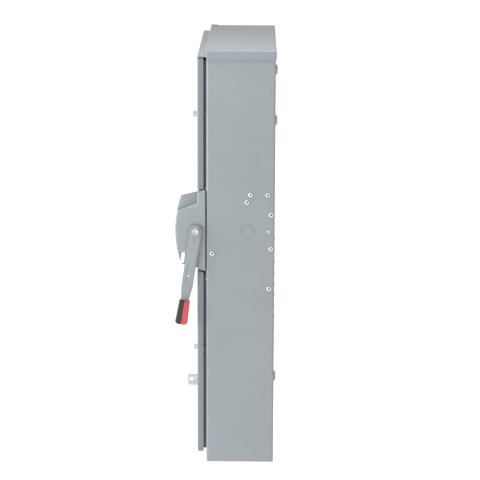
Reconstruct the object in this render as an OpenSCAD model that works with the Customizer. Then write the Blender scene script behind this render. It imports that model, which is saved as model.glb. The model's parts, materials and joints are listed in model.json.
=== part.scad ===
// Wall-mounted three-pole fusible disconnect switch in a rainproof steel enclosure.
// Origin: centre of the four wall bolts, on the wall plane. +X right, -Y front, +Z up.

/* [Enclosure] */
// Width across the side walls
box_w = 702; // [640:1:900]
// Overall height over the rain cap
box_h = 1278; // [1270:1:1600]
// Depth of the side walls
box_d = 207; // [200:1:280]
// Thickness of the enclosure sheet steel
sheet = 2; // [1.6:0.1:2.6]
// Outside radius of the folded vertical corners
bend_r = 6; // [4:0.5:9]
// Width of the side walls' front return flanges
return_w = 28; // [24:1:36]
// How far the mounting pads stand out of the back
pad_rise = 6; // [4:0.5:8]
// Height of the upper wall bolts above the box bottom
upper_bolt_h = 1213; // [1180:1:1230]
// Height of the lower wall bolts above the box bottom
lower_bolt_h = 257; // [240:1:300]
// Side-to-side spacing of the wall bolts
bolt_span = 560; // [540:1:600]
// Radius of the wall bolt holes
bolt_hole_r = 5.5; // [4:0.5:7]

/* [Rain cap] */
// Height of the cap's side and rear flanges
cap_flange = 26.5; // [20:0.5:34]
// Clearance between the cap's flanges and the walls
cap_gap = 0.6; // [0.4:0.1:1]
// Radius of the cap's folded top edges
cap_r = 3.5; // [2.5:0.5:5]
// Drop from the cap's top to the visor
visor_step = 18; // [12:1:24]
// How far the visor reaches past the cap's front flange
visor_reach = 24; // [22:1:30]

/* [Door] */
// Depth of the door pan
door_depth = 18.5; // [16:0.5:24]
// Gap between the door pan and the side walls' front edges
door_gap = 8.5; // [7:0.5:12]
// Height of the door's lower edge above the box bottom
door_bottom_h = 31.5; // [28:0.5:40]
// Radius of the door's folded front edges
door_r = 5; // [3:0.5:6]
// Clearance between the door's flange and the rain lip
lip_gap = 7.6; // [5:0.1:9]
// Depth of the rain lip that the gasket seals on
lip_depth = 18; // [16:0.5:20]
// Width of the gasket strip
gasket_w = 10; // [8:0.5:12]
// Diameter of the hinge barrels
barrel_d = 9; // [8:0.5:10]
// Length of one hinge
hinge_len = 90; // [70:1:120]
// Height of the upper latch above the handle axis
latch_up = 349; // [300:1:380]
// Depth of the lower latch below the handle axis
latch_down = 376.5; // [320:1:400]

/* [Handle] */
// Height of the handle axis above the box bottom
handle_h = 732; // [720:1:760]
// Throw of the handle from off to on, in degrees
throw = 162; // [150:1:165]
// Lean of the arm from straight down at off, in degrees
arm_lean = 9; // [6:0.5:12]
// Width of the arm
arm_w = 35; // [30:1:40]
// Thickness of the arm
arm_t = 5; // [4:0.5:6]
// Length of the arm from its axis to the grip
arm_len = 217; // [190:1:260]
// Length of the grip
grip_len = 75; // [60:1:95]
// Thickness of the grip
grip_t = 22; // [18:1:24]
// Front radius of the handle housing and its fin
hood_r = 320; // [280:1:400]
// How far the hood's front stands from the side walls' front edges
hood_reach = 94; // [90:1:104]
// Radius of the handle shaft
shaft_r = 8; // [6:0.5:9]
// Width of the padlock slot
lock_slot_w = 10.4; // [9:0.1:11]
// Length of the padlock slot
lock_slot_len = 35; // [30:1:36]
// Radius of the hasp's padlock hole
hasp_hole_r = 6; // [4:0.5:7]

/* [Switch] */
// Spacing of the poles
pole_pitch = 130; // [110:1:132]
// Distance from the box's back to the blades' axis
axis_depth = 84; // [80:1:95]
// Turn of the blades from off to on, in degrees
blade_turn = 54; // [50:1:58]
// Reach of a blade from its axis
blade_reach = 145; // [135:1:148]
// Width of a blade
blade_w = 38; // [30:1:40]
// Thickness of a blade and of a fuse's knife terminal
blade_t = 6; // [5:0.5:8]
// Clearance between a blade and its jaws
jaw_gap = 0.3; // [0.2:0.05:0.6]
// Radius of the toggle crank
crank_r = 20; // [16:1:22]
// Radius of the fuse tube
fuse_r = 31; // [26:0.5:34]
// Overall length of a fuse over its knife terminals
fuse_len = 295; // [280:1:305]
// Radius of the conductor holes in the lugs
wire_r = 13.5; // [9:0.5:15]

/* [Hidden] */
$fn = 48;
eps = 0.01;
hw = box_w/2;
back_y = -pad_rise;
front_y = back_y - box_d;
inner_x = hw - sheet;
inner_back = back_y - sheet;
wall_top = box_h - sheet;
origin_h = (upper_bolt_h + lower_bolt_h)/2;
axis_y = back_y - axis_depth;

// door and opening
door_side = 2;
door_x = hw - door_side;
door_rear = front_y - door_gap;
door_front = door_rear - door_depth;
visor_h = box_h - visor_step;
visor_gap = 1.5;
door_top_h = visor_h - sheet - visor_gap;
lip_in = lip_gap + sheet;
lip_front = front_y - lip_depth;

// handle housing: a tray on the mounting frame, a hood with a curved front, and a fin
frame_t = 3;
tray_w = 126;
tray_out = 2;
tray_wall = 2.5;
tray_left = hw - tray_w;
tray_right = hw + tray_out;
tray_rear = front_y - frame_t;
tray_depth = 24.5;
tray_front = tray_rear - tray_depth;
tray_half_rear = 124.8;
tray_half_front = 118.2;
hood_left = tray_left + 10;
hood_half_rear = 84;
hood_half_front = 59;
hood_slope_gap = 0.4;
fin_root = 40;
hood_front = front_y - hood_reach;
hood_c = hood_front + hood_r;
pivot_y = front_y - 31;
fin_x = hw - 16;
fin_t = 3;
fin_corner_r = 9;
fin_half = tray_half_front;
fin_slope = 13.3;
notch_gap = 3.5;
notch_x = tray_left - 10;
notch_lo = handle_h - tray_half_rear - notch_gap;
notch_hi = handle_h + tray_half_rear + notch_gap;

// handle, toggle and blade assembly
arm_x = tray_right + 4;
bush_r = 11;
turn_gap = 0.05;
crank_t = 6;
crank_x = fin_x - 17;
pin_r = 4;
link_t = 6;
link_x = crank_x - 3 - link_t;
half_throw = throw/2;
half_turn = blade_turn/2;
lever_r = 2*crank_r*sin(half_throw)/(2*sin(half_turn));
reach_end = (axis_y - pivot_y) + crank_r*cos(half_throw) - lever_r*cos(half_turn);
reach_mid = (axis_y - pivot_y) + crank_r - lever_r;
lever_t = 8;
lever_x = link_x - 3 - lever_t;
stub_r = 10;
bar_r = 85;
bar_a = 24;
bar_b = blade_w + 12;

// switch internals
poles = [-pole_pitch, 0, pole_pitch];
rail_x = 205;
rail_h = 15;
base_half = 1.65*pole_pitch;
rail_front = inner_back - rail_h;
slab_t = 28;
slab_front = rail_front - slab_t;
strap_t = 6;
strap_front = slab_front - strap_t;
strap_w = 44;
leaf_t = 3.5;
leaf_front = axis_y - 26;
line_lo = handle_h + 100;
line_hi = handle_h + 288;
hinge_lo = handle_h - 172;
hinge_hi = handle_h + 34;
fuse_top_h = handle_h - 92;
fuse_bot_h = fuse_top_h - fuse_len;
clip_len = 45;
load_lo = fuse_bot_h - 125;
load_hi = fuse_bot_h + 72;
lug_h = 60;
lug_w = 44;
lug_d = 48;
line_lug_h = line_hi - 95;
load_lug_h = load_lo + 12;
pin_bolt_r = 6;

// wall fixings on the right side: [distance from the box's back, height above the box bottom]
wall_rivets = [[73.6, 843], [21, 842.5], [84, 820.5], [11, 781.5], [11, 677], [16.6, 552.5], [189.3, 662]];
rivet_hole_r = 3.3;
plate_t = 3;
plate_x = inner_x - plate_t;

// ---------- helpers ----------
// Moves heights above the box bottom into the row frame.
module framed() translate([0, 0, -origin_h]) children();

// Extrudes a drawing of (y, z) from x0 to x1.
module along_x(x0, x1) translate([x0, 0, 0]) rotate([90, 0, 90]) linear_extrude(x1 - x0) children();

// Extrudes a drawing of (x, z) from y0 back to y1.
module along_y(y0, y1) translate([0, y1, 0]) rotate([90, 0, 0]) linear_extrude(y1 - y0) children();

module block(lo, hi) translate(lo) cube(hi - lo);

module rod_x(x0, x1, r, y, z) translate([x0, y, z]) rotate([0, 90, 0]) cylinder(h = x1 - x0, r = r);

module rod_y(y0, y1, r, x, z) translate([x, y1, z]) rotate([90, 0, 0]) cylinder(h = y1 - y0, r = r);

module rounded_square(w, d, r) {
  square([w - 2*r, d], center = true);
  square([w, d - 2*r], center = true);
  for (sx = [-1, 1], sy = [-1, 1]) translate([sx*(w/2 - r), sy*(d/2 - r)]) circle(r);
}

// A box from the origin up to h whose upright and top edges are rounded by r.
module soft_box(w, d, h, r) {
  linear_extrude(h - r) rounded_square(w, d, r);
  translate([-w/2 + r, -d/2 + r, 0]) cube([w - 2*r, d - 2*r, h]);
  for (s = [-1, 1]) {
    translate([-w/2 + r, s*(d/2 - r), h - r]) rotate([0, 90, 0]) cylinder(h = w - 2*r, r = r);
    translate([s*(w/2 - r), d/2 - r, h - r]) rotate([90, 0, 0]) cylinder(h = d - 2*r, r = r);
    for (t = [-1, 1]) translate([s*(w/2 - r), t*(d/2 - r), h - r]) sphere(r);
  }
}

// A domed rivet or screw head of radius r and rise c, resting on z = 0.
module dome(r, c) {
  big = (r*r + c*c)/(2*c);
  intersection() {
    translate([0, 0, c - big]) sphere(big);
    cylinder(h = c, r = r);
  }
}

// ---------- enclosure ----------
module mounting_pad_solid(rise, top_r, foot_r)
  rotate([-90, 0, 0]) cylinder(h = rise, r1 = foot_r, r2 = top_r);

module pad_places(heights) for (s = [-1, 1], h = heights) translate([s*bolt_span/2, back_y, h]) children();

bolt_heights = [upper_bolt_h, lower_bolt_h];
rest_pad_heights = [upper_bolt_h - 153];

module enclosure_wrap() color("#a4a9ad") framed() {
  side_hole_x = hw + 1;
  knock_r = 20;
  bead_r = 1.3;
  difference() {
    union() {
      translate([0, (back_y + front_y)/2, 0]) linear_extrude(wall_top) difference() {
        rounded_square(box_w, box_d, bend_r);
        rounded_square(box_w - 2*sheet, box_d - 2*sheet, bend_r - sheet);
        translate([0, -box_d/2]) square([2*(hw - return_w), 4*sheet], center = true);
      }
      pad_places(concat(bolt_heights, rest_pad_heights)) mounting_pad_solid(pad_rise, 12, 18);
      translate([hw, axis_y, handle_h]) rotate([0, 90, 0]) rotate_extrude()
        translate([knock_r, 0]) circle(bead_r);
    }
    pad_places(concat(bolt_heights, rest_pad_heights))
      translate([0, -sheet - eps, 0]) mounting_pad_solid(pad_rise + eps, 10.5, 16.5);
    pad_places(bolt_heights) translate([0, -sheet, 0]) rotate([-90, 0, 0])
      cylinder(h = pad_rise + 2*sheet, r = bolt_hole_r);
    for (p = wall_rivets) rod_x(inner_x - 1, side_hole_x, rivet_hole_r, back_y - p[0], p[1]);
    rod_x(inner_x - 1, side_hole_x, rivet_hole_r, back_y - 17, handle_h - 1);
    rail_rivet_places() rod_y(-sheet - 1, 1, rivet_hole_r, 0, 0);
  }
}

module rain_cap() color("#b4bcc0") framed() {
  over = cap_gap + sheet;
  depth = box_d + 2*over;
  mid_y = (back_y + front_y)/2;
  difference() {
    translate([0, mid_y, box_h - cap_flange]) soft_box(box_w + 2*over, depth, cap_flange, cap_r);
    translate([0, mid_y, box_h - cap_flange - 1])
      linear_extrude(cap_flange - sheet + 1) rounded_square(box_w + 2*cap_gap, box_d + 2*cap_gap, bend_r);
    block([-hw - 2*over, front_y - 3*over, box_h - cap_flange - 1], [hw + 2*over, front_y, visor_h - sheet]);
  }
  // visor over the door, with a short drip edge turned down at its ends
  block([-hw, front_y - over - visor_reach, visor_h - sheet], [hw, front_y - over + eps, visor_h]);
  // lapped corner tab of the front flange
  translate([9 - hw, front_y + 9, box_h - eps]) linear_extrude(sheet) rounded_square(22, 22, 3);
}

module front_header() color("#a4a9ad") framed() {
  top = wall_top;
  lip_h = 14;
  block([-hw + return_w, front_y, door_top_h - 45], [hw - return_w, front_y + sheet, top]);
  block([-hw + return_w, front_y + sheet, door_top_h - 45],
    [hw - return_w, front_y + lip_h, door_top_h - 45 + sheet]);
}

module bottom_endwall() color("#a4a9ad") framed() {
  floor_h = 12;
  edge = 0.3;
  apron_h = door_bottom_h + lip_in + 22;
  x1 = inner_x - edge;
  difference() {
    union() {
      translate([0, (back_y + front_y)/2, floor_h - sheet]) linear_extrude(sheet)
        rounded_square(2*x1, box_d - 2*(sheet + edge), bend_r - sheet);
      for (s = [-1, 1]) translate([s*(x1 - sheet/2), 0, 0])
        block([-sheet/2, front_y + bend_r, floor_h - eps], [sheet/2, inner_back - bend_r, floor_h + 25]);
      block([-x1 + bend_r, inner_back - edge - sheet, floor_h - eps],
        [x1 - bend_r, inner_back - edge, floor_h + 25]);
      block([-hw + return_w, front_y, 0], [hw - return_w, front_y + sheet, apron_h]);
      block([-hw + return_w, front_y + sheet - eps, floor_h - sheet],
        [hw - return_w, front_y + sheet + 1, floor_h]);
    }
    // score rings of the concentric conduit knockouts
    for (x = [-190, 0, 190], r = [22, 31, 44]) translate([x, axis_y - 12, floor_h - sheet - eps])
      linear_extrude(0.8) difference() {
        circle(r + 0.6);
        circle(r - 0.6);
      }
  }
}

// The door opening's outline, taken in from the door's edges by i.
module opening(i) difference() {
  translate([-door_x + i, door_bottom_h + i])
    square([2*(door_x - i), door_top_h - door_bottom_h - 2*i]);
  translate([notch_x - i, notch_lo - i]) square([box_w, notch_hi - notch_lo + 2*i]);
}

module rain_lip() color("#8f959a") framed() along_y(lip_front, front_y) difference() {
  opening(lip_in);
  opening(lip_in + sheet);
}

module handle_mount_frame() color("#8f959a") framed() {
  x0 = notch_x - lip_in;
  x1 = hw - 10;
  along_y(front_y - frame_t, front_y) difference() {
    translate([x0, notch_lo - lip_in]) square([x1 - x0, notch_hi - notch_lo + 2*lip_in]);
    translate([tray_left + 16, handle_h - 92]) square([hw - return_w - 1 - tray_left - 16, 184]);
  }
}

// ---------- handle housing ----------
module tray_profile(i) polygon([[tray_rear + 2*i, -tray_half_rear + i],
  [tray_front + i, -tray_half_front + i], [tray_front + i, tray_half_front - i],
  [tray_rear + 2*i, tray_half_rear - i]]);

// Side view of the hood, taken in by i and cut off at rear.
hood_slope = (hood_half_rear - hood_half_front)/(tray_front - hood_front);
module hood_profile(i, rear) intersection() {
  half_front = hood_half_front - i - hood_slope;
  half_rear = hood_half_rear - i + hood_slope*(rear - tray_front);
  translate([hood_c, 0]) circle(hood_r - i, $fn = 160);
  polygon([[rear, -half_rear], [hood_front - 1, -half_front], [hood_front - 1, half_front],
    [rear, half_rear]]);
}

module handle_housing() color("#9fa5a8") framed() translate([0, 0, handle_h]) difference() {
  union() {
    along_x(tray_left, tray_right) tray_profile(0);
    along_x(hood_left, tray_right) hood_profile(0, tray_front + 1);
  }
  along_x(tray_left + tray_wall, tray_right - tray_wall) intersection() {
    tray_profile(tray_wall);
    translate([tray_front + tray_wall, -200]) square([tray_depth + 1, 400]);
  }
  block([tray_left + tray_wall, tray_rear - 1, -tray_half_rear + tray_wall],
    [tray_right - tray_wall, tray_rear + 1, tray_half_rear - tray_wall]);
  along_x(tray_left + tray_wall, tray_right - tray_wall) translate([tray_rear - 12, -tray_half_front + 2])
    square([14, 2*tray_half_front - 4]);
  along_x(hood_left + tray_wall, tray_right - tray_wall) hood_profile(tray_wall, tray_front + tray_wall + 1);
  rod_x(tray_right - tray_wall - 1, tray_right + 1, bush_r, pivot_y, 0);
  // slots that the fin's root passes through
  slot_in = hood_half_front - tray_wall;
  slot_out = hood_half_rear + 2;
  for (z = [-slot_out, slot_in]) block([fin_x - fin_t/2 - 0.2, tray_front - fin_root - 0.5, z],
    [fin_x + fin_t/2 + 0.2, tray_front, z + slot_out - slot_in]);
}

// Centre of the fin's rounded front corner, in (distance from the hood centre, height).
fin_dir = [-cos(fin_slope), -sin(fin_slope)];
fin_in = [-sin(fin_slope), cos(fin_slope)];
fin_start = [tray_front, fin_half];
fin_off = fin_start - [hood_c, 0] - fin_corner_r*fin_in;
fin_b = fin_off*fin_dir;
fin_q = fin_off*fin_off - pow(hood_r - fin_corner_r, 2);
fin_s = -fin_b + sqrt(fin_b*fin_b - fin_q);
fin_c = fin_off + fin_s*fin_dir + [hood_c, 0];
fin_t1 = fin_c + fin_corner_r*fin_in;
fin_u = (fin_c - [hood_c, 0])/norm(fin_c - [hood_c, 0]);
fin_t2 = [hood_c, 0] + hood_r*fin_u;

function mirrored(p) = [p[0], -p[1]];

module fin_outline() {
  upper = [fin_start, fin_t1, fin_c, fin_t2];
  polygon(concat(upper, [for (k = [3 : -1 : 0]) mirrored(upper[k])]));
  for (p = [fin_c, mirrored(fin_c)]) translate(p) circle(fin_corner_r);
  intersection() {
    translate([hood_c, 0]) circle(hood_r, $fn = 160);
    translate([hood_front - 1, -fin_t2[1]]) square([tray_front - hood_front + 1, 2*fin_t2[1]]);
  }
}

module padlock_fin() color("#9fa5a8") framed() translate([0, 0, handle_h])
  along_x(fin_x - fin_t/2, fin_x + fin_t/2) difference() {
    union() {
      fin_outline();
      translate([tray_front - 1, -50]) square([18, 100]);
    }
    // the plate is cut back where the hood's front and sloping walls pass it
    difference() {
      hood_profile(-hood_slope_gap, tray_front - fin_root);
      hood_profile(tray_wall + hood_slope_gap, tray_front + 1);
    }
    translate([pivot_y, 0]) circle(shaft_r + 1);
    lock_slot();
  }

module lock_slot() {
  y = front_y - 71.5;
  z = -86.5;
  translate([y, z]) rotate(-6.6) {
    square([lock_slot_w, lock_slot_len - lock_slot_w], center = true);
    for (s = [-1, 1]) translate([0, s*(lock_slot_len - lock_slot_w)/2]) circle(lock_slot_w/2);
  }
}

module handle_bushing() color("#b08d57") framed() translate([0, pivot_y, handle_h]) rotate([0, 90, 0])
  difference() {
    union() {
      translate([0, 0, tray_right - tray_wall - 3]) cylinder(h = tray_wall + 3, r = bush_r - 0.1);
      translate([0, 0, tray_right - tray_wall - 3]) cylinder(h = 3, r = bush_r + 3);
    }
    translate([0, 0, tray_right - 20]) cylinder(h = 40, r = shaft_r + turn_gap);
  }

// ---------- fixed hardware ----------
module blind_rivet(head_r, rise) {
  difference() {
    dome(head_r, rise);
    cylinder(h = 2*rise, r = head_r*0.32);
  }
  translate([0, 0, -sheet - plate_t - 4])
    cylinder(h = sheet + plate_t + 4 + rise*0.35, r = rivet_hole_r - 0.1);
  translate([0, 0, -sheet - plate_t - 4]) cylinder(h = 4 - 0.05, r = rivet_hole_r + 1.4);
}

module side_wall_rivets() color("#d8dcdc") framed() {
  for (p = wall_rivets) translate([hw, back_y - p[0], p[1]]) rotate([0, 90, 0]) blind_rivet(6.6, 3);
  translate([hw, back_y - 17, handle_h - 1]) rotate([0, 90, 0]) {
    dome(4.4, 2.8);
    translate([0, 0, -sheet - plate_t - 4]) cylinder(h = sheet + plate_t + 4 + eps, r = rivet_hole_r - 0.1);
    translate([0, 0, -sheet - plate_t - 4]) cylinder(h = 3.9, r = rivet_hole_r + 1.4);
  }
}

rail_rivet_pitch = 35.4;
rail_rivet_first = lower_bolt_h + 104;
module rail_rivet_places() for (s = [-1, 1], k = [0 : 9])
  translate([s*(rail_x + 21), back_y, rail_rivet_first + k*rail_rivet_pitch]) children();

module rail_rivets() color("#9aa0a4") framed() rail_rivet_places() rotate([-90, 0, 0]) {
  dome(5.5, 2.8);
  translate([0, 0, -2*sheet - 1.5]) cylinder(h = 2*sheet + 1.5 + eps, r = rivet_hole_r - 0.1);
  translate([0, 0, -2*sheet - 1.5]) cylinder(h = 1.4, r = rivet_hole_r + 1);
}

module mounting_rails() color("#c3c7c8") framed() for (s = [-1, 1]) difference() {
  translate([s*rail_x, 0, load_lo - 10]) linear_extrude(line_hi - load_lo + 20) {
    for (t = [-1, 1]) {
      translate([t > 0 ? 13 : -29, inner_back - sheet]) square([16, sheet]);
      translate([t > 0 ? 13 : -15, rail_front]) square([sheet, rail_h]);
    }
    translate([-15, rail_front]) square([30, sheet]);
  }
  for (k = [0 : 9]) rod_y(inner_back - sheet - 1, inner_back + 1, rivet_hole_r, s*(rail_x + 21),
    rail_rivet_first + k*rail_rivet_pitch);
}

hinge_heights = [door_bottom_h + 110, (door_bottom_h + door_top_h)/2, door_top_h - 110];
barrel_r = barrel_d/2;
barrel_x = -hw - barrel_r + 0.5;
barrel_y = (front_y + door_rear)/2;
leaf_sheet = 1.8;
knuckle = hinge_len/3;

module barrel_ring(h0, h1) translate([barrel_x, barrel_y, h0]) difference() {
  cylinder(h = h1 - h0, r = barrel_r);
  translate([0, 0, -1]) cylinder(h = h1 - h0 + 2, r = barrel_r/2 + turn_gap);
}

module hinge_box_leaves() color("#a4a9ad") framed() for (h = hinge_heights) {
  difference() {
    union() {
      block([-hw - leaf_sheet, front_y + bend_r - 1, h - hinge_len/2], [-hw, front_y + 34, h + hinge_len/2]);
      for (s = [-1, 1]) translate([0, 0, h + s*knuckle])
        block([-hw - leaf_sheet, barrel_y + 0.5, -knuckle/2 + 0.2], [-hw, front_y + bend_r, knuckle/2 - 0.2]);
    }
    for (s = [-1, 1]) translate([barrel_x, barrel_y, h + s*knuckle - knuckle])
      cylinder(h = 2*knuckle, r = barrel_r - 0.4);
  }
  for (s = [-1, 1]) barrel_ring(h + s*knuckle - knuckle/2 + 0.2, h + s*knuckle + knuckle/2 - 0.2);
}

module hinge_door_leaves() color("#a4a9ad") framed() for (h = hinge_heights) {
  difference() {
    union() {
      block([-door_x - leaf_sheet, door_front + door_r + 1, h - knuckle/2 + 0.2],
        [-door_x, door_rear, h + knuckle/2 - 0.2]);
      block([-door_x - leaf_sheet - 1, door_rear - 2, h - knuckle/2 + 0.2],
        [-door_x - 1, barrel_y, h + knuckle/2 - 0.2]);
    }
    translate([barrel_x, barrel_y, h - knuckle]) cylinder(h = 2*knuckle, r = barrel_r - 0.4);
  }
  barrel_ring(h - knuckle/2 + 0.2, h + knuckle/2 - 0.2);
}

module hinge_pins() color("#c3c7c8") framed() for (h = hinge_heights) translate([barrel_x, barrel_y, 0]) {
  translate([0, 0, h - hinge_len/2 - 2]) cylinder(h = hinge_len + 4, r = barrel_r/2);
  translate([0, 0, h + hinge_len/2 + eps]) cylinder(h = 2.5, r = barrel_r - 0.6);
}

latch_x = hw - 51;
latch_heights = [handle_h + latch_up, handle_h - latch_down];
hasp_h0 = lower_bolt_h - 17;
hasp_h1 = lower_bolt_h + 18.7;
hasp_x = hw - 21.5;
hasp_t = 3;
hasp_out = 29.5;
hasp_hole_out = 19.2;
hasp_hole_h = lower_bolt_h + 2.3;

module hasp_tab() color("#d5d8d8") framed() {
  tip = door_front - hasp_out;
  difference() {
    union() {
      along_x(hasp_x - hasp_t/2, hasp_x + hasp_t/2) {
        translate([tip + 4, hasp_h0]) square([front_y - tip - 4, hasp_h1 - hasp_h0]);
        translate([tip, hasp_h0 + 4]) square([6, hasp_h1 - hasp_h0 - 8]);
        for (h = [hasp_h0 + 4, hasp_h1 - 4]) translate([tip + 4, h]) circle(4);
      }
      block([hw - return_w + 0.5, front_y - hasp_t, hasp_h0],
        [door_x - lip_in - sheet - 0.5, front_y, hasp_h1]);
    }
    rod_x(hasp_x - 5, hasp_x + 5, hasp_hole_r, door_front - hasp_hole_out, hasp_hole_h);
  }
}

module latch_keepers() color("#d5d8d8") framed() for (h = latch_heights)
  translate([door_x - lip_in, front_y, h - 12.5]) {
    translate([0, -11, 0]) cube([2, 11, 25]);
    for (z = [0, 23]) translate([0, 1 - door_gap, z]) cube([lip_in - 1, door_gap - 1, 2]);
  }

module frame_screw() color("#e2e4e4") framed()
  translate([hw - bend_r - 1.5, front_y, handle_h - 150.5]) rotate([90, 0, 0]) {
    translate([0, 0, 0.8]) dome(3.2, 2.4);
    cylinder(h = 0.8 + eps, r = 3.2);
  }

module mechanism_plate() color("#c3c7c8") framed() {
  y0 = front_y + 12;
  y1 = back_y - bend_r;
  difference() {
    union() {
      along_x(plate_x, inner_x) translate([y0, handle_h - 192]) square([y1 - y0, 320]);
      rod_x(plate_x - 6, plate_x + eps, 20, axis_y, handle_h);
    }
    for (p = wall_rivets) rod_x(plate_x - 1, inner_x + 1, rivet_hole_r, back_y - p[0], p[1]);
    rod_x(plate_x - 1, inner_x + 1, rivet_hole_r, back_y - 17, handle_h - 1);
    along_x(plate_x - 1, inner_x + 1) for (p = [[-60, -60], [-60, 70], [40, -120]])
      translate([axis_y + p[0], handle_h + p[1]]) circle(14);
    rod_x(plate_x - 7, plate_x, stub_r + 0.1, axis_y, handle_h);
  }
}

module stub_shaft() color("#8b8f92") framed() {
  rod_x(lever_x - 5, plate_x, stub_r, axis_y, handle_h);
  rod_x(lever_x - 5, lever_x - 2, stub_r + 4, axis_y, handle_h);
}

// ---------- current path ----------
module barriers(h0, h1, out) for (x = [-1.5, -0.5, 0.5, 1.5]*pole_pitch)
  block([x - 2.5, slab_front - out, h0], [x + 2.5, slab_front + eps, h1]);

module slab(h0, h1) difference() {
  block([-base_half - 18, slab_front, h0], [base_half + 18, rail_front, h1]);
  for (x = [-1, 0, 1]*pole_pitch) block([x - 46, slab_front + 8, h0 + 12], [x + 46, rail_front + 1, h1 - 12]);
}

module line_base() color("#7c2f24") framed() {
  slab(line_lo, line_hi);
  barriers(line_lo + 4, line_hi, 100);
}

module load_transfer_base() color("#7c2f24") framed() {
  slab(hinge_lo, hinge_hi);
  barriers(hinge_lo, handle_h - 40, 84);
}

module load_base() color("#7c2f24") framed() {
  slab(load_lo, load_hi);
  barriers(load_lo, load_hi, 84);
}

// Two leaves that grip a blade or knife terminal, between heights h0 and h1.
module leaves(x, h0, h1) for (s = [-1, 1]) {
  near = blade_t/2 + jaw_gap;
  translate([x + s*(near + leaf_t/2) - leaf_t/2, leaf_front, h0])
    cube([leaf_t, strap_front - leaf_front + eps, h1 - h0]);
}

module strap(x, h0, h1) block([x - strap_w/2, strap_front, h0], [x + strap_w/2, slab_front, h1]);

module line_jaw(x) color("#b87333") framed() {
  strap(x, line_lo + 6, line_lug_h + lug_h + 6);
  leaves(x, handle_h + 106, handle_h + 148);
}

module hinge_jaw(x) color("#b87333") framed() difference() {
  union() {
    strap(x, fuse_top_h - clip_len - 4, handle_h + 26);
    leaves(x, handle_h - 18, handle_h + 20);
    leaves(x, fuse_top_h - clip_len + 4, fuse_top_h + 2);
  }
  rod_x(x - 20, x + 20, pin_bolt_r + 0.1, axis_y, handle_h);
}

module load_clip(x) color("#b87333") framed() {
  strap(x, load_lug_h - 6, fuse_bot_h + clip_len + 2);
  leaves(x, fuse_bot_h - 2, fuse_bot_h + clip_len - 4);
}

module fuse(x) color("#c9b48a") framed() {
  knife_w = 41;
  end_gap = clip_len + 1;
  tube_lo = fuse_bot_h + end_gap;
  tube_hi = fuse_top_h - end_gap;
  translate([x, axis_y, tube_lo + 16]) cylinder(h = tube_hi - tube_lo - 32, r = fuse_r);
  for (h = [tube_lo, tube_hi - 16.5]) translate([x, axis_y, h]) cylinder(h = 16.5, r = fuse_r + 1);
  block([x - blade_t/2, axis_y - knife_w/2, fuse_bot_h], [x + blade_t/2, axis_y + knife_w/2, tube_lo + 1]);
  block([x - blade_t/2, axis_y - knife_w/2, tube_hi - 1], [x + blade_t/2, axis_y + knife_w/2, fuse_top_h]);
}

lug_axis_y = strap_front - 24;
module lug(x, h0) color("#cfd2d3") framed() difference() {
  block([x - lug_w/2, strap_front - lug_d, h0], [x + lug_w/2, strap_front, h0 + lug_h]);
  translate([x, lug_axis_y, h0 - 1]) cylinder(h = lug_h + 2, r = wire_r);
  rod_y(strap_front - lug_d - 1, lug_axis_y, 8, x, h0 + lug_h/2);
}

module lug_screws() color("#8f9497") framed() for (x = poles, h = [line_lug_h, load_lug_h]) difference() {
  rod_y(strap_front - lug_d - 9, lug_axis_y - wire_r - 0.3, 7.8, x, h + lug_h/2);
  translate([x, strap_front - lug_d - 5, h + lug_h/2]) rotate([90, 0, 0]) cylinder(h = 5, r = 4.6, $fn = 6);
}

module arc_chutes() color("#2b2d2f") framed() for (x = poles) translate([x, 0, 0]) {
  h0 = handle_h + 112;
  h1 = handle_h + 174;
  y0 = axis_y - 64;
  slit = blade_t/2 + 2.5;
  for (s = [-1, 1]) translate([s*24 - 1.5, 0, 0]) block([0, y0, h0], [3, slab_front, h1]);
  block([-25.5, y0, h1 - eps], [25.5, strap_front, h1 + 4]);
  for (y = [y0 : 8 : y0 + 30]) along_y(y, y + 1.6) difference() {
    translate([-23, h0]) square([46, h1 - h0 + eps]);
    translate([-slit, h0 - 1]) square([2*slit, h1 - h0 - 11]);
  }
}

module blade_pivot_bolts() color("#c3c7c8") framed() for (x = poles)
  translate([x, axis_y, handle_h]) rotate([0, 90, 0]) {
    clamp = blade_t/2 + jaw_gap + leaf_t;
    translate([0, 0, -clamp - 0.2]) cylinder(h = 2*clamp + 0.4, r = pin_bolt_r);
    for (s = [-1, 1]) translate([0, 0, s*(clamp + 3.2) - 3]) cylinder(h = 6, r = 10, $fn = 6);
  }

module line_shield() color("#c8d4da") framed() {
  y1 = slab_front - 100;
  h0 = handle_h + 184;
  difference() {
    block([-1.5*pole_pitch - 8, y1 - 3, h0], [1.5*pole_pitch + 8, y1, line_hi]);
    for (x = poles) rod_y(y1 - 4, y1 + 1, 7, x, line_lug_h + lug_h/2);
  }
}

module ground_lug() color("#cfd2d3") framed()
  translate([-inner_x + 60, inner_back, lower_bolt_h - 117]) difference() {
  union() {
    translate([0, -6, 0]) cube([70, 6, 40]);
    translate([10, -30, 4]) cube([50, 24 + eps, 32]);
  }
  for (x = [22, 48]) {
    translate([x, -17, -1]) cylinder(h = 60, r = 7);
    translate([x, -20, 20]) rotate([90, 0, 0]) cylinder(h = 20, r = 5);
  }
}

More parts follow.
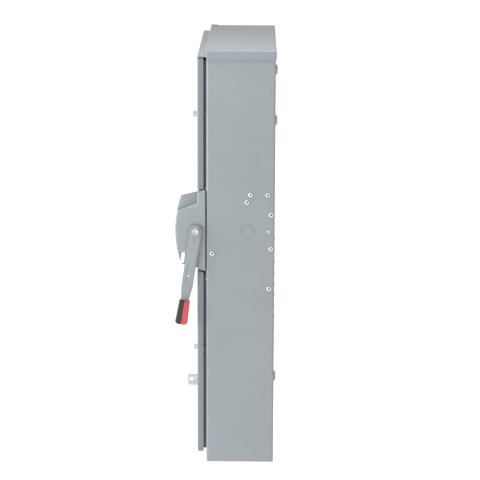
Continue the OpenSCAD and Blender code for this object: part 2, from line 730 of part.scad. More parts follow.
// ---------- door ----------
module door_pan() color("#9aa0a4") framed() {
  h_mid = (door_bottom_h + door_top_h)/2;
  h_len = door_top_h - door_bottom_h;
  difference() {
    translate([0, door_rear, h_mid]) rotate([90, 0, 0]) soft_box(2*door_x, h_len, door_depth, door_r);
    along_y(door_front + sheet, door_rear + 1) difference() {
      translate([-door_x + sheet, door_bottom_h + sheet]) square([2*(door_x - sheet), h_len - 2*sheet]);
      translate([notch_x - sheet, notch_lo - sheet]) square([box_w, notch_hi - notch_lo + 2*sheet]);
    }
    along_y(door_front - 1, door_rear + 1) translate([notch_x, notch_lo])
      square([box_w, notch_hi - notch_lo]);
    block([hasp_x - 7, door_front - 1, hasp_h0 - 4], [hasp_x + 5, door_front + sheet + 1, hasp_h1 + 4]);
    for (h = latch_heights) rod_y(door_front - 1, door_front + sheet + 1, 5.3, latch_x, h);
  }
}

module door_gasket() color("#2f3234") framed() {
  i = lip_in + sheet/2 - gasket_w/2;
  along_y(door_front + sheet, lip_front - 0.3) difference() {
    opening(i);
    opening(i + gasket_w);
  }
}

module latch(h) color("#dfe2e2") framed() translate([latch_x, 0, h]) {
  knob = 13;
  rod_y(door_front - knob + 4, front_y + sheet + 5, 5, 0, 0);
  rod_y(door_front - 2, door_front - 0.2, 9, 0, 0);
  // wing grip
  along_x(-2, 2) polygon([[door_front - 1.9, -6], [door_front - knob, -10.5],
    [door_front - knob, 10.5], [door_front - 1.9, 6]]);
  // pawl behind the side wall's return flange when turned in
  along_y(front_y + sheet + 1.5, front_y + sheet + 4.5) {
    translate([-8, -40]) square([16, 40]);
    circle(8);
  }
}

// ---------- handle ----------
module arm_frame() framed() translate([0, pivot_y, handle_h]) rotate([-arm_lean, 0, 0]) children();

neck_w = 25;
core_len = grip_len - 24;
rivet_down = 140;
module arm_outline() difference() {
  union() {
    circle(arm_w/2 + 1);
    polygon([[-arm_w/2, 0], [-arm_w/2, -arm_len + 45], [-neck_w/2, -arm_len + 5],
      [-neck_w/2, -arm_len - core_len], [neck_w/2, -arm_len - core_len], [neck_w/2, -arm_len + 5],
      [arm_w/2, -arm_len + 45], [arm_w/2, 0]]);
  }
  translate([0, -rivet_down]) circle(rivet_hole_r);
  circle(5.2);
}

module handle_arm() color("#9ea3a5") arm_frame() along_x(arm_x, arm_x + arm_t) arm_outline();

module grip_outline() {
  r = 10;
  w0 = 16.2;
  w1 = 18.8;
  polygon([[-w0, -arm_len], [-w1, -arm_len - grip_len + r], [-w1 + r, -arm_len - grip_len],
    [w1 - r, -arm_len - grip_len], [w1, -arm_len - grip_len + r], [w0, -arm_len]]);
  for (s = [-1, 1]) translate([s*(w1 - r), -arm_len - grip_len + r]) circle(r);
}

module grip_half(s) arm_frame() difference() {
  mid = arm_x + arm_t/2 + 1.5;
  along_x(mid - grip_t/2, mid + grip_t/2) intersection() {
    grip_outline();
    translate([s > 0 ? 0 : -40, -400]) square([40, 400]);
  }
  along_x(arm_x - 0.05, arm_x + arm_t + 0.05) translate([-neck_w/2 - 0.05, -arm_len - core_len - 0.05])
    square([neck_w + 0.1, grip_len]);
}

module grip_front_half() color("#2c2e31") grip_half(-1);
module grip_rear_half() color("#d9383c") grip_half(1);

module arm_rivet() color("#e6e8e8") arm_frame() {
  rod_x(arm_x, arm_x + arm_t + eps, rivet_hole_r - 0.1, 0, -rivet_down);
  translate([arm_x + arm_t, 0, -rivet_down]) rotate([0, 90, 0]) dome(4.4, 1.8);
}

module pivot_bolt() color("#e6e8e8") arm_frame() {
  collar_t = 2;
  collar_r = 10.6;
  head_r = 9.8;
  rod_x(arm_x + arm_t, arm_x + arm_t + collar_t, collar_r, 0, 0);
  translate([arm_x + arm_t + collar_t - eps, 0, 0]) rotate([0, 90, 0]) cylinder(h = 8, r = head_r, $fn = 6);
  rod_x(arm_x - 12, arm_x + arm_t + eps, 5, 0, 0);
}

// The crank starts half_throw below the line from the handle axis to the blade axis.
crank_pin = [-crank_r*cos(half_throw), -crank_r*sin(half_throw)];

module handle_shaft() color("#8b8f92") framed() translate([0, pivot_y, handle_h]) difference() {
  union() {
    rod_x(crank_x, arm_x - eps, shaft_r, 0, 0);
    rod_x(tray_right + 0.3, arm_x - eps, shaft_r + 5, 0, 0);
    along_x(crank_x, crank_x + crank_t) {
      circle(14);
      rotate(90 - half_throw + 90) translate([-8, 0]) square([16, crank_r]);
      translate(crank_pin) circle(8);
    }
    rod_x(link_x - 2, crank_x + eps, pin_r, crank_pin[0], crank_pin[1]);
  }
  rod_x(arm_x - 13, arm_x + 1, 5.05, 0, 0);
}

// ---------- blade assembly, drawn with the blades upright and laid forward to off ----------
module blade_frame() framed() translate([0, axis_y, handle_h]) rotate([blade_turn, 0, 0]) children();

module blade_outline() difference() {
  union() {
    translate([-blade_w/2, -12]) square([blade_w, blade_reach + 12 - 8]);
    translate([-blade_w/2 + 8, -22]) square([blade_w - 16, blade_reach + 22]);
    for (s = [-1, 1]) translate([s*(blade_w/2 - 8), blade_reach - 8]) circle(8);
    for (s = [-1, 1]) translate([s*(blade_w/2 - 10), -12]) circle(10);
  }
  circle(pin_bolt_r + turn_gap);
}

module contact_blades() color("#c98a4b") blade_frame() for (x = poles)
  along_x(x - blade_t/2, x + blade_t/2) blade_outline();

// An insulating bar with a slot for each blade, keyed into the drive lever.
module crossbar() color("#1f2022") blade_frame() difference() {
  along_x(-pole_pitch - 35, lever_x) translate([-bar_b/2, bar_r - bar_a/2]) square([bar_b, bar_a]);
  for (x = poles) along_x(x - blade_t/2 - 0.05, x + blade_t/2 + 0.05)
    translate([-blade_w/2 - 0.05, 0]) square([blade_w + 0.1, blade_reach]);
}

module drive_lever() color("#8b8f92") blade_frame() {
  along_x(lever_x, lever_x + lever_t) difference() {
    union() {
      circle(19);
      translate([-11, 0]) square([22, bar_r]);
      translate([-bar_b/2, bar_r - bar_a/2]) square([bar_b, bar_a]);
      translate(lever_pin) circle(9);
      rotate(-half_turn) translate([-lever_r, -9]) square([lever_r, 18]);
    }
    circle(stub_r + turn_gap);
  }
  rod_x(lever_x + lever_t - eps, link_x + link_t + 2, pin_r, lever_pin[0], lever_pin[1]);
}

// Toggle pin in the upright blade frame: it lies half_turn above the axis line when the blades are on.
lever_pin = lever_r*[-cos(half_turn), sin(half_turn)];

module toggle_link() color("#b9bdbf") framed()
  translate([0, pivot_y + crank_pin[0], handle_h + crank_pin[1]]) {
  slack = 3.4;
  slot_lo = reach_end - pin_r - 1;
  slot_hi = reach_mid + pin_r + 1;
  eye_r = pin_r + 6;
  head = pin_r + slack;
  along_x(link_x, link_x + link_t) difference() {
    union() {
      circle(eye_r);
      translate([0, -5]) square([slot_lo, 10]);
      translate([slot_lo - 6, -head - 5]) square([slot_hi - slot_lo + 12, 2*head + 10]);
    }
    circle(pin_r + turn_gap);
    translate([slot_lo, -head]) square([slot_hi - slot_lo, 2*head]);
  }
}

enclosure_wrap();
rain_cap();
front_header();
bottom_endwall();
rain_lip();
handle_mount_frame();
handle_housing();
padlock_fin();
handle_bushing();
side_wall_rivets();
rail_rivets();
mounting_rails();
hinge_box_leaves();
hinge_pins();
hasp_tab();
latch_keepers();
frame_screw();
mechanism_plate();
stub_shaft();
line_base();
load_transfer_base();
load_base();
line_jaw(poles[0]);  // line_jaw_1
line_jaw(poles[1]);  // line_jaw_2
line_jaw(poles[2]);  // line_jaw_3
arc_chutes();
lug(poles[0], line_lug_h);  // line_lug_1
lug(poles[1], line_lug_h);  // line_lug_2
lug(poles[2], line_lug_h);  // line_lug_3
lug(poles[0], load_lug_h);  // load_lug_1
lug(poles[1], load_lug_h);  // load_lug_2
lug(poles[2], load_lug_h);  // load_lug_3
hinge_jaw(poles[0]);  // hinge_jaw_1
hinge_jaw(poles[1]);  // hinge_jaw_2
hinge_jaw(poles[2]);  // hinge_jaw_3
load_clip(poles[0]);  // load_clip_1
load_clip(poles[1]);  // load_clip_2
load_clip(poles[2]);  // load_clip_3
fuse(poles[0]);  // fuse_1
fuse(poles[1]);  // fuse_2
fuse(poles[2]);  // fuse_3
lug_screws();
blade_pivot_bolts();
line_shield();
ground_lug();
door_pan();
door_gasket();
hinge_door_leaves();
latch(latch_heights[0]);  // upper_latch
latch(latch_heights[1]);  // lower_latch
handle_arm();
handle_shaft();
pivot_bolt();
arm_rivet();
grip_front_half();
grip_rear_half();
contact_blades();
crossbar();
drive_lever();
toggle_link();
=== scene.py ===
# %% [markdown]
# # Finishing a rainproof disconnect switch
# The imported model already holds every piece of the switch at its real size. This lesson gives each
# surface its finish and rebuilds the few pieces whose form is softer than a drawn solid: the pressed
# handle housing, the moulded grips, the bolt heads and the fuses. It starts by loading the frame,
# because every place below is read from it.

# %% Load the frame
import json
import math

import bmesh
import bpy
from mathutils import Matrix, Vector


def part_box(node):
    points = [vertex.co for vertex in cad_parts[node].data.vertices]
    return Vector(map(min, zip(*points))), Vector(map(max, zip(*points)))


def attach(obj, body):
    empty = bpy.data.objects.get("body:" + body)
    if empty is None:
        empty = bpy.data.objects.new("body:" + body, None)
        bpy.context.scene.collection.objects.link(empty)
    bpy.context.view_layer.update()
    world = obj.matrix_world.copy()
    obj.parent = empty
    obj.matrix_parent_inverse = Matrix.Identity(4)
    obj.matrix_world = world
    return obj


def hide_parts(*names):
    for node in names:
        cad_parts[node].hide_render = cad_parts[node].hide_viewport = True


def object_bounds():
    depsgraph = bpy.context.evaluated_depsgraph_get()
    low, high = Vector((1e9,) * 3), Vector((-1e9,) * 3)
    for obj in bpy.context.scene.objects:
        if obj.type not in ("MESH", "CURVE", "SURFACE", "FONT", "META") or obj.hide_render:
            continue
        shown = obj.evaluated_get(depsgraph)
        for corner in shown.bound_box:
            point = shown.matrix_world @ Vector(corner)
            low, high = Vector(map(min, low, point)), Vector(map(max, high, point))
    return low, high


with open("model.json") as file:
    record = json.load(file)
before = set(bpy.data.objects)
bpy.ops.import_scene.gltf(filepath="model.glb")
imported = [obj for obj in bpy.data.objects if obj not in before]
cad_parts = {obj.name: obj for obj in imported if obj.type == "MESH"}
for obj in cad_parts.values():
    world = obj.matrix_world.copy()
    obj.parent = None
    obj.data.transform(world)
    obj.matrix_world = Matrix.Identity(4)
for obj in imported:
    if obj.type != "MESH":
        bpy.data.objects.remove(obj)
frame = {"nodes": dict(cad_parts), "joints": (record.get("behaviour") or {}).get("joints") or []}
CAD_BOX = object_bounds()
NODES = frame["nodes"]
MM = 0.001
low, high = (Vector(corner) for corner in CAD_BOX)
print("the object measures", [round(side/MM) for side in high - low], "mm")

# %% [markdown]
# ## Joints and axes
# The handle's axis comes from the joints of the record and its lean of 9 degrees is given here, so the
# modelled grip hangs on the same line as the steel arm that it covers.

# %% Read the joints
joints = {joint["name"]: joint for joint in frame["joints"]}
handle_axis = Vector(joints["handle_throw"]["pos_m"])
LEAN = math.radians(9)
across_arm = Vector((0, math.cos(LEAN), -math.sin(LEAN)))
print("handle axis at", [round(v/MM, 1) for v in handle_axis], "mm")

# %% [markdown]
# ## Camera
# The switch is seen square on to its right side and from a little above, with a long lens from about
# six metres. A long lens keeps the tall sides nearly parallel, as a maker's catalogue view does.

# %% Place the camera
CAMERA_PLACE = Vector((6.047, -0.060, 1.232))
CAMERA_TURN = math.radians(-0.51)
CAMERA_DOWN = math.radians(12.5)
CAMERA_ROLL = math.radians(0.21)
SENSOR = 36.0
LENS = 144.75

forward = Vector((-math.cos(CAMERA_TURN)*math.cos(CAMERA_DOWN),
                  math.sin(CAMERA_TURN)*math.cos(CAMERA_DOWN), -math.sin(CAMERA_DOWN)))
level = forward.cross(Vector((0, 0, 1))).normalized()
upright = level.cross(forward)
right = level*math.cos(CAMERA_ROLL) + upright*math.sin(CAMERA_ROLL)
above = upright*math.cos(CAMERA_ROLL) - level*math.sin(CAMERA_ROLL)
camera_data = bpy.data.cameras.new("camera")
camera_data.lens = LENS
camera_data.sensor_width = SENSOR
camera_data.clip_end = 200
camera = bpy.data.objects.new("camera", camera_data)
facing = Matrix((right, above, -forward)).transposed().to_4x4()
camera.matrix_world = Matrix.Translation(CAMERA_PLACE) @ facing
bpy.context.scene.collection.objects.link(camera)
bpy.context.scene.camera = camera
print("camera is", round((CAMERA_PLACE - (low + high)/2).length, 2), "m from the middle of the switch")

# %% [markdown]
# ## Nodes in one line
# Materials and Geometry Nodes are both graphs. One helper adds any node: keyword arguments are the
# node's settings, and the dictionary holds its sockets, where a socket is linked and a value is typed in.
# Colours are written as the sRGB hex values that a paint card gives, and one function turns them linear.

# %% Two small helpers
def add(tree, kind, sockets=None, **settings):
    node = tree.nodes.new(kind)
    for name, value in settings.items():
        setattr(node, name, value)
    for name, value in (sockets or {}).items():
        socket = node.inputs[name]
        if isinstance(value, bpy.types.NodeSocket):
            tree.links.new(value, socket)
        else:
            socket.default_value = value
    return node


def linear(hex_colour):
    channels = [int(hex_colour[k:k + 2], 16)/255 for k in (1, 3, 5)]
    return [c/12.92 if c <= 0.04045 else ((c + 0.055)/1.055)**2.4 for c in channels] + [1.0]


BOX_GREY = "#8E9599"
print("the grey of the box is", [round(c, 3) for c in linear(BOX_GREY)[:3]], "in linear light")

# %% [markdown]
# ## The base of every finish
# A finish starts as a Principled surface with typical numbers for the material. Two noises on Object
# coordinates then break it up: a broad one moves its tone and gloss a little, as handling, batch and
# cleaning do, and a fine one is the relief of the surface itself. Sizes are given in millimetres and
# turned into a noise scale, which counts cells per metre.

# %% Base finish
def per_metre(size_mm):
    return 1/(size_mm*MM)


def finish(name, colour, roughness, metallic=0.0, tone=0.06, tone_mm=120, gloss=0.06,
           grain_mm=3, relief_mm=0.05, stretch=(1, 1, 1), **constants):
    material = bpy.data.materials.new(name)
    material.use_nodes = True
    tree = material.node_tree
    shader = tree.nodes["Principled BSDF"]
    shader.inputs["Metallic"].default_value = metallic
    for socket, value in constants.items():
        shader.inputs[socket.replace("_", " ")].default_value = value
    place = add(tree, "ShaderNodeTexCoord").outputs["Object"]
    stretched = add(tree, "ShaderNodeMapping", {"Vector": place, "Scale": stretch}).outputs["Vector"]
    broad = add(tree, "ShaderNodeTexNoise", {"Vector": place, "Scale": per_metre(tone_mm), "Detail": 4.0})
    fine = add(tree, "ShaderNodeTexNoise", {"Vector": stretched, "Scale": per_metre(grain_mm),
                                            "Detail": 3.0})
    body = linear(colour)
    ramp = add(tree, "ShaderNodeValToRGB", {"Fac": broad.outputs["Fac"]})
    ramp.color_ramp.elements[0].position = 0.3
    ramp.color_ramp.elements[1].position = 0.7
    ramp.color_ramp.elements[0].color = [c*(1 - tone) for c in body[:3]] + [1.0]
    ramp.color_ramp.elements[1].color = [min(1.0, c*(1 + tone)) for c in body[:3]] + [1.0]
    sheen = add(tree, "ShaderNodeMapRange", {"Value": broad.outputs["Fac"], "To Min": roughness - gloss,
                                             "To Max": roughness + gloss})
    relief = add(tree, "ShaderNodeBump", {"Height": fine.outputs["Fac"], "Strength": 1.0,
                                          "Distance": relief_mm*MM})
    tree.links.new(ramp.outputs["Color"], shader.inputs["Base Color"])
    tree.links.new(sheen.outputs["Result"], shader.inputs["Roughness"])
    tree.links.new(relief.outputs["Normal"], shader.inputs["Normal"])
    parts = {"tree": tree, "shader": shader, "place": place, "colour": ramp.outputs["Color"],
             "fine": fine.outputs["Fac"], "relief": relief}
    return material, parts


# %% [markdown]
# ## Baked enamel on folded sheet
# The box, the door and the handle are sheet steel with baked grey powder enamel. Powder flows as it
# bakes and leaves a faint orange peel, here drawn at 7 mm where the real one is nearer 2 mm, so that it
# shows at this distance. Large panels also pull slightly hollow between their folds, which a broad, very
# shallow second bump gives: it bends reflections without changing the outline.

# %% Enamel
PEEL_MM = 7
HOLLOW_MM = 260
HOLLOW_DEPTH_MM = 1.5


def enamel(name, colour, roughness=0.33):
    material, parts = finish(name, colour, roughness, tone=0.025, gloss=0.04, grain_mm=PEEL_MM,
                             relief_mm=0.06, IOR=1.5)
    tree = parts["tree"]
    hollow = add(tree, "ShaderNodeTexNoise", {"Vector": parts["place"], "Scale": per_metre(HOLLOW_MM)})
    panel = add(tree, "ShaderNodeBump", {"Height": hollow.outputs["Fac"], "Strength": 0.5,
                                         "Distance": HOLLOW_DEPTH_MM*MM,
                                         "Normal": parts["relief"].outputs["Normal"]})
    tree.links.new(panel.outputs["Normal"], parts["shader"].inputs["Normal"])
    return material


box_enamel = enamel("powder_enamel_box", BOX_GREY)
cap_enamel = enamel("powder_enamel_cap", "#8B9297", roughness=0.26)
# The door gets the box's enamel painted darker: painted shade for its side flange, which sits in less
# light.
door_enamel_painted_darker = enamel("powder_enamel_door_painted_shade", "#7B8186")
handle_enamel = enamel("powder_enamel_handle", "#8C9397")
# Inside the box the enamel is duller. The door-gap lips and latch keepers get a dark enamel: painted gap
# shade.
inner_enamel = enamel("powder_enamel_inside", "#7C8286", roughness=0.45)
gap_shade_enamel = enamel("enamel_painted_gap_shade", "#565D62", roughness=0.5)
enamels = [box_enamel, cap_enamel, door_enamel_painted_darker, handle_enamel, inner_enamel, gap_shade_enamel]
print("enamels made:", len(enamels))

# %% [markdown]
# ## Metals
# A metal keeps the shader's own IOR: its colour is the reflection. What tells metals apart here is how
# they were made. Zinc plate is bright and slightly cloudy, galvanised sheet shows spangle, which a
# Voronoi texture gives as flat crystals of differing tone, and turned or drawn bar has fine lines.

# %% Plated, drawn and turned metals
# Bright zinc plate: a clouded mirror with wide, slightly patchy highlights.
zinc_plate, _ = finish("bright_zinc_plate", "#BEC1C2", 0.34, metallic=0.85, tone=0.08, tone_mm=14,
                       grain_mm=1.5, relief_mm=0.02)
# Drawn aluminium left bare: half metallic, so it stays pale where there is little around it to mirror.
rivet_metal, _ = finish("drawn_aluminium_rivet", "#E0E3E4", 0.38, metallic=0.5, tone=0.06, tone_mm=9)
# Steel snapped in tension, grainy. Its dark tone is partly painted shade, as it also covers the hole round
# the stub.
mandrel_steel_and_hole_shade, _ = finish("steel_mandrel_and_painted_hole_shade", "#4A4D50", 0.55, metallic=0.9, grain_mm=0.7,
                          relief_mm=0.2)
# Oiled bar steel: fine tool lines and dark reflections.
turned_steel, _ = finish("turned_oiled_steel", "#8C9093", 0.3, metallic=1.0, tone_mm=30, grain_mm=1.2,
                         stretch=(0.15, 1, 1))
# Zinc on a forged bolt: half metallic like the rivets, and smoother.
bolt_zinc, _ = finish("zinc_bolt", "#BFC4C8", 0.36, metallic=0.5, tone=0.05, tone_mm=8)
# Tinned aluminium extrusion: a soft white gleam, with the die's lines running up it.
lug_metal, _ = finish("tinned_aluminium_lug", "#C9CCCE", 0.36, metallic=1.0, tone_mm=25, grain_mm=0.9,
                      stretch=(1, 1, 0.12))
# Bare rolled copper: warm, with tarnish that changes its tone and fine lines running up it.
copper, _ = finish("bare_copper_bar", "#B87654", 0.33, metallic=1.0, tone=0.12, tone_mm=35, grain_mm=0.8,
                   stretch=(1, 1, 0.1))
# Drawn brass tube: yellow, with soft lines running up it.
ferrule_brass, _ = finish("drawn_brass_ferrule", "#C2A45C", 0.32, metallic=1.0, tone=0.08, tone_mm=30,
                          grain_mm=0.8, stretch=(1, 1, 0.2))
# Sintered bronze: dull and grainy, because its pores hold oil.
bronze, _ = finish("sintered_bronze", "#9C7A45", 0.5, metallic=0.9, tone_mm=4, grain_mm=0.5, relief_mm=0.1)


def galvanised(name, colour, spangle_mm=9):
    material, parts = finish(name, colour, 0.42, metallic=0.9, tone=0.05, tone_mm=60, relief_mm=0.02)
    tree = parts["tree"]
    crystals = add(tree, "ShaderNodeTexVoronoi", {"Vector": parts["place"], "Scale": per_metre(spangle_mm)})
    grey = add(tree, "ShaderNodeSeparateColor", {"Color": crystals.outputs["Color"]})
    tone = add(tree, "ShaderNodeMapRange", {"Value": grey.outputs["Red"], "To Min": 0.82, "To Max": 1.0})
    mixed = add(tree, "ShaderNodeMix", {"Factor": 1.0}, data_type="RGBA", blend_type="MULTIPLY")
    tree.links.new(parts["colour"], mixed.inputs["A"])
    tree.links.new(tone.outputs["Result"], mixed.inputs["B"])
    tree.links.new(mixed.outputs["Result"], parts["shader"].inputs["Base Color"])
    return material


galvanised_sheet = galvanised("galvanised_sheet", "#BFC3C4")
print("finishes made so far:", len(bpy.data.materials))

# %% [markdown]
# ## Moulded and laminated parts
# The grip is two moulded halves, black and red, with a fine spark-eroded texture. The bases are
# compression moulded glass-polyester, which shows short fibres as pale flecks. Fuse tubes are wound
# glass-melamine with faint bands of winding, and the arc chutes are dull vulcanised fibre.

# %% Plastics, fibre and foam
CELL_MM = 1.2
# Vinyl from a spark-eroded mould: the fine grain spreads each highlight into a soft glow.
grip_black, _ = finish("moulded_vinyl_black", "#2D2A2D", 0.42, tone=0.08, tone_mm=12, grain_mm=1.4,
                       relief_mm=0.12)
grip_red, _ = finish("moulded_vinyl_red", "#C44A4D", 0.4, tone=0.05, tone_mm=12, grain_mm=1.4,
                     relief_mm=0.12)
# Compression-moulded phenolic: nearly black, with a satin sheen.
phenolic, _ = finish("moulded_phenolic", "#1C1D20", 0.35, tone=0.1, tone_mm=40, grain_mm=2.0)
# Vulcanised fibre: dull and mottled, like dense card.
fibre, _ = finish("vulcanised_fibre", "#3A3532", 0.7, tone=0.12, tone_mm=10, grain_mm=0.8, relief_mm=0.1)
# Closed-cell neoprene: the cut face is all small cells and hardly reflects.
neoprene, neoprene_parts = finish("closed_cell_neoprene", "#26282A", 0.85, tone=0.1, tone_mm=8)
cells = add(neoprene_parts["tree"], "ShaderNodeTexVoronoi", {"Vector": neoprene_parts["place"],
                                                             "Scale": per_metre(CELL_MM)})
neoprene_parts["tree"].links.new(cells.outputs["Distance"], neoprene_parts["relief"].inputs["Height"])
# Clear polycarbonate: the jaws show through it, under a sharp gloss.
polycarbonate, _ = finish("clear_polycarbonate", "#E6EEF2", 0.08, tone=0.02, gloss=0.03, IOR=1.58,
                          Transmission_Weight=0.9, relief_mm=0.01)


# The noise reaches these values only here and there, which leaves short fibres far apart.
FLECK_START = 0.64
FLECK_FULL = 0.72


def moulding_compound(name, colour, fleck_colour, fleck_mm=2.2):
    material, parts = finish(name, colour, 0.5, tone=0.12, tone_mm=30, grain_mm=1.5, relief_mm=0.06)
    tree = parts["tree"]
    strands = add(tree, "ShaderNodeMapping", {"Vector": parts["place"], "Scale": (1, 0.3, 0.2)})
    flecks = add(tree, "ShaderNodeTexNoise", {"Vector": strands.outputs["Vector"],
                                              "Scale": per_metre(fleck_mm), "Detail": 2.0})
    mask = add(tree, "ShaderNodeMapRange", {"Value": flecks.outputs["Fac"],
                                            "From Min": FLECK_START, "From Max": FLECK_FULL})
    mixed = add(tree, "ShaderNodeMix", {"Factor": mask.outputs["Result"], "B": linear(fleck_colour)},
                data_type="RGBA")
    tree.links.new(parts["colour"], mixed.inputs["A"])
    tree.links.new(mixed.outputs["Result"], parts["shader"].inputs["Base Color"])
    return material


base_moulding = moulding_compound("moulded_glass_polyester", "#6E2A22", "#A56A58")


# A wave texture at scale 1 turns through 20 radians in a metre. One radian for each 6 mm repeats the
# band every 38 mm, which is coarser than a real winding, so that it shows.
WAVE_TURN = 20


def wound_tube(name, colour, dark_colour, radian_mm=6):
    material, parts = finish(name, colour, 0.38, tone=0.06, tone_mm=50)
    tree = parts["tree"]
    bands = add(tree, "ShaderNodeTexWave", {"Vector": parts["place"],
                                            "Scale": per_metre(radian_mm)/WAVE_TURN,
                                            "Distortion": 1.0}, bands_direction="Z")
    mixed = add(tree, "ShaderNodeMix", {"Factor": bands.outputs["Fac"], "B": linear(dark_colour)},
                data_type="RGBA")
    tree.links.new(parts["colour"], mixed.inputs["A"])
    tree.links.new(mixed.outputs["Result"], parts["shader"].inputs["Base Color"])
    return material


melamine_tube = wound_tube("wound_glass_melamine", "#C3B184", "#AB986B")
print("finishes made so far:", len(bpy.data.materials))

# %% [markdown]
# ## Dress the drawn pieces
# Most pieces keep the shape that they were drawn with and only change material. One table names the
# finish of each, so a missing piece shows up at once.

# %% Give the drawn pieces their materials
DRESS = {
    box_enamel: ["enclosure_wrap", "front_header", "bottom_endwall", "hinge_box_leaves", "rail_rivets"],
    cap_enamel: ["rain_cap"],
    door_enamel_painted_darker: ["door_pan", "hinge_door_leaves"],
    inner_enamel: ["handle_mount_frame"],
    # rain_lip and latch_keepers take the dark enamel that paints the shade of the door gap.
    gap_shade_enamel: ["rain_lip", "latch_keepers"],
    handle_enamel: ["handle_housing", "padlock_fin", "handle_arm"],
    zinc_plate: ["hinge_pins", "hasp_tab", "upper_latch", "lower_latch", "blade_pivot_bolts"],
    bolt_zinc: ["pivot_bolt", "arm_rivet", "frame_screw"],
    rivet_metal: ["side_wall_rivets"],
    galvanised_sheet: ["mounting_rails", "mechanism_plate", "toggle_link"],
    turned_steel: ["stub_shaft", "handle_shaft", "drive_lever", "lug_screws"],
    bronze: ["handle_bushing"],
    base_moulding: ["line_base", "load_transfer_base", "load_base"],
    copper: ["contact_blades", "line_jaw_1", "line_jaw_2", "line_jaw_3", "hinge_jaw_1", "hinge_jaw_2",
             "hinge_jaw_3", "load_clip_1", "load_clip_2", "load_clip_3"],
    lug_metal: ["ground_lug", "line_lug_1", "line_lug_2", "line_lug_3", "load_lug_1", "load_lug_2",
                "load_lug_3"],
    fibre: ["arc_chutes"],
    melamine_tube: ["fuse_1", "fuse_2", "fuse_3"],
    polycarbonate: ["line_shield"],
    neoprene: ["door_gasket"],
    phenolic: ["crossbar"],
    grip_black: ["grip_front_half"],
    grip_red: ["grip_rear_half"],
}
for material, names in DRESS.items():
    for name in names:
        for slot in NODES[name].material_slots:
            slot.material = material
print("dressed", sum(len(names) for names in DRESS.values()), "of", len(NODES), "pieces")

# %% [markdown]
# ## Broken edges
# No worker leaves an edge of sheet or bar quite sharp: shears, files and tumblers break it, and the
# broken edge is what catches the light. A drawn piece is copied, its triangles are merged back into
# flat faces, and its sharp edges get a small bevel. The piece keeps its size, because a bevel only
# takes material away at a corner.

# %% Copy, merge and bevel
SHARP = math.radians(30)
SAME_PLACE_MM = 0.002
FLAT = math.radians(0.4)


def merged(name):
    mesh = bmesh.new()
    mesh.from_mesh(NODES[name].data)
    bmesh.ops.remove_doubles(mesh, verts=mesh.verts, dist=SAME_PLACE_MM*MM)
    bmesh.ops.dissolve_limit(mesh, angle_limit=FLAT, verts=mesh.verts, edges=mesh.edges)
    return mesh


def convex_edges(mesh):
    sharp = [edge for edge in mesh.edges if len(edge.link_faces) == 2 and edge.is_convex]
    return [edge for edge in sharp if edge.calc_face_angle(0) > SHARP]


def bevel(mesh, edges, width_mm, segments=2, clamp=True):
    bmesh.ops.bevel(mesh, geom=list(edges), offset=width_mm*MM, segments=segments, profile=0.5,
                    affect="EDGES", clamp_overlap=clamp)


def stand_in(name, body, mesh, *materials):
    data = bpy.data.meshes.new(name + "_finished")
    bmesh.ops.recalc_face_normals(mesh, faces=mesh.faces)
    mesh.to_mesh(data)
    mesh.free()
    for material in materials:
        data.materials.append(material)
    data.shade_smooth()
    data.set_sharp_from_angle(angle=SHARP)
    piece = bpy.data.objects.new(name + "_finished", data)
    bpy.context.scene.collection.objects.link(piece)
    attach(piece, body)
    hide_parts(name)
    return piece


def break_edges(name, body, material, width_mm):
    mesh = merged(name)
    bevel(mesh, convex_edges(mesh), width_mm)
    return stand_in(name, body, mesh, material)


BROKEN = [
    ("hasp_tab", "cabinet", zinc_plate, 0.5), ("upper_latch", "upper_latch", zinc_plate, 0.6),
    ("lower_latch", "lower_latch", zinc_plate, 0.6), ("handle_arm", "handle", handle_enamel, 0.8),
    ("padlock_fin", "cabinet", handle_enamel, 0.6), ("arm_rivet", "handle", bolt_zinc, 0.2),
    ("handle_shaft", "handle", turned_steel, 0.6), ("stub_shaft", "cabinet", turned_steel, 0.6),
    ("drive_lever", "blade_assembly", turned_steel, 0.6),
    ("toggle_link", "toggle_link", galvanised_sheet, 0.5),
    ("contact_blades", "blade_assembly", copper, 0.7), ("crossbar", "blade_assembly", phenolic, 1.0),
    ("ground_lug", "cabinet", lug_metal, 0.6), ("mechanism_plate", "cabinet", galvanised_sheet, 0.4),
    ("mounting_rails", "cabinet", galvanised_sheet, 0.4), ("line_shield", "cabinet", polycarbonate, 0.5),
    ("line_base", "cabinet", base_moulding, 0.8), ("load_base", "cabinet", base_moulding, 0.8),
    ("load_transfer_base", "cabinet", base_moulding, 0.8),
]
for pole in (1, 2, 3):
    for kind in ("line_jaw", "hinge_jaw", "load_clip"):
        BROKEN.append((f"{kind}_{pole}", "cabinet", copper, 0.5))
    for kind in ("line_lug", "load_lug"):
        BROKEN.append((f"{kind}_{pole}", "cabinet", lug_metal, 0.8))
for name, body, material, width_mm in BROKEN:
    break_edges(name, body, material, width_mm)
print("pieces with broken edges:", len(BROKEN))

# %% [markdown]
# ## The pressed handle housing
# The housing is drawn from one blank in a press, so its outer corners have the radius of the die,
# about twice the sheet. Only the outer corners are rounded: the rear rim stays a cut edge. The long
# bright lines along the hood come from these bends.

# %% Round the housing
HOUSING_BEND_MM = 5.5
HOOD_INSET = 10*MM
LONG_ACROSS = 30*MM
HOLE_REACH = 20*MM
HOLE_FACET = 2*MM
BEHIND = 50*MM
FLUSH = 0.05*MM
SIDEWAYS = 0.5
REARWARD = 0.3
housing_low, housing_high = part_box("handle_housing")
housing = merged("handle_housing")


